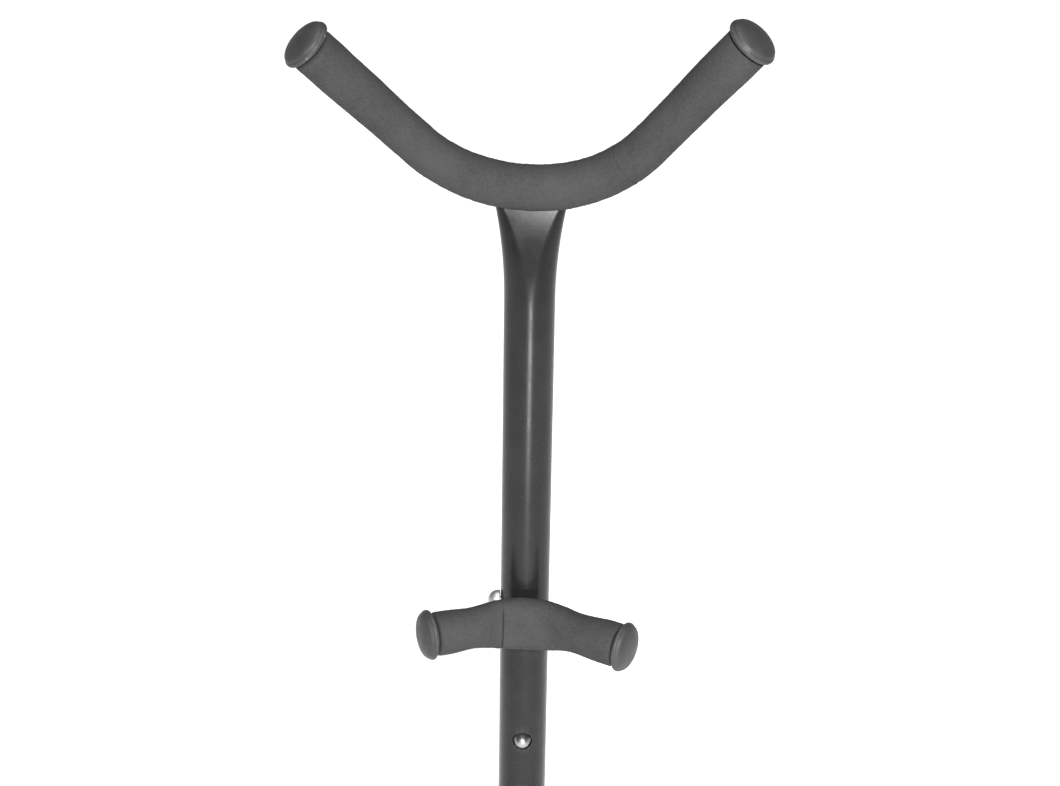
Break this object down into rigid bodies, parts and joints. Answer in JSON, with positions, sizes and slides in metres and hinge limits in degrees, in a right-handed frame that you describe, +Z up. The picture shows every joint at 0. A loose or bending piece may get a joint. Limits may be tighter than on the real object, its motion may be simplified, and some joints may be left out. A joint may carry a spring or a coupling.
{
  "type": "saxophone stand",
  "caption": "Folding floor stand for a saxophone: foam-covered upper and lower yokes on a telescopic mast over a tripod hub.",
  "frame": {"origin": "on the floor, at the middle of the stand's outline seen from above", "axes": "+Z up; -Y to the front, where the yokes open; +X to the right seen from the front"},
  "size_m": [0.4054, 0.3256, 0.5047],
  "materials": {
    "painted_tube": "satin black paint on steel tube",
    "foam_sleeve": "matt closed-cell foam rubber, finely pored",
    "black_plastic": "satin moulded plastic",
    "nylon": "natural nylon",
    "plated_tube": "bright plated steel tube",
    "spring_steel": "oiled spring steel",
    "fastener_steel": "zinc-plated steel",
    "rubber_boot": "matt moulded rubber"
  },
  "bodies": {
    "base": {"inner_tube": "plated_tube", "button_spring": "spring_steel", "socket": "painted_tube", "socket_bolt": "fastener_steel", "socket_nut": "fastener_steel", "hub_top_plate": "painted_tube", "hub_bottom_plate": "painted_tube", "stop_rivet_left": "fastener_steel", "stop_rivet_right": "fastener_steel", "pivot_washer_left": "fastener_steel", "pivot_washer_right": "fastener_steel", "pivot_bolt_left": "fastener_steel", "pivot_bolt_right": "fastener_steel", "pivot_nut_left": "fastener_steel", "pivot_nut_right": "fastener_steel", "rear_bolt_inner": "fastener_steel", "rear_bolt_outer": "fastener_steel", "rear_nut_inner": "fastener_steel", "rear_nut_outer": "fastener_steel", "rear_leg": "painted_tube", "rear_boot": "rubber_boot"},
    "mast": {"mast_tube": "painted_tube", "mast_collar": "black_plastic", "upper_yoke_bar": "painted_tube", "upper_foam_long": "foam_sleeve", "upper_foam_short": "foam_sleeve", "upper_cap_left": "black_plastic", "upper_cap_right": "black_plastic", "yoke_saddle": "black_plastic", "yoke_bolt": "fastener_steel", "captive_nut": "fastener_steel", "anchor_plug": "nylon", "side_screw": "fastener_steel"},
    "lower_yoke": {"lower_yoke_bar": "painted_tube", "lower_foam_left": "foam_sleeve", "lower_foam_right": "foam_sleeve", "lower_cap_left": "black_plastic", "lower_cap_right": "black_plastic"},
    "button": {"snap_button": "fastener_steel"},
    "left_leg": {"front_leg_left": "painted_tube", "front_boot_left": "rubber_boot"},
    "right_leg": {"front_leg_right": "painted_tube", "front_boot_right": "rubber_boot"}
  },
  "joints": [
    {"name": "mast_slide", "type": "slide", "parent": "base", "child": "mast", "axis": [0, 0.1736, 0.9848], "range_m": [0, 0.06], "deforming": ["snap_button", "button_spring"]},
    {"name": "button_press", "type": "slide", "parent": "base", "child": "button", "axis": [0, 0.9848, -0.1736], "range_m": [0, 0.0045], "stiffness_N_per_m": 800, "springref_m": -0.002},
    {"name": "lower_yoke_swivel", "type": "hinge", "parent": "mast", "child": "lower_yoke", "pos_m": [0, -0.02551, 0.228], "axis": [0, -0.9848, 0.1736], "range_deg": [-90, 90]},
    {"name": "left_leg_fold", "type": "hinge", "parent": "base", "child": "left_leg", "pos_m": [-0.02601, -0.05521, 0.029], "axis": [0, 0, -1], "range_deg": [0, 120]},
    {"name": "right_leg_fold", "type": "hinge", "parent": "base", "child": "right_leg", "pos_m": [0.02601, -0.05521, 0.029], "axis": [0, 0, 1], "range_deg": [0, 120]}
  ]
}
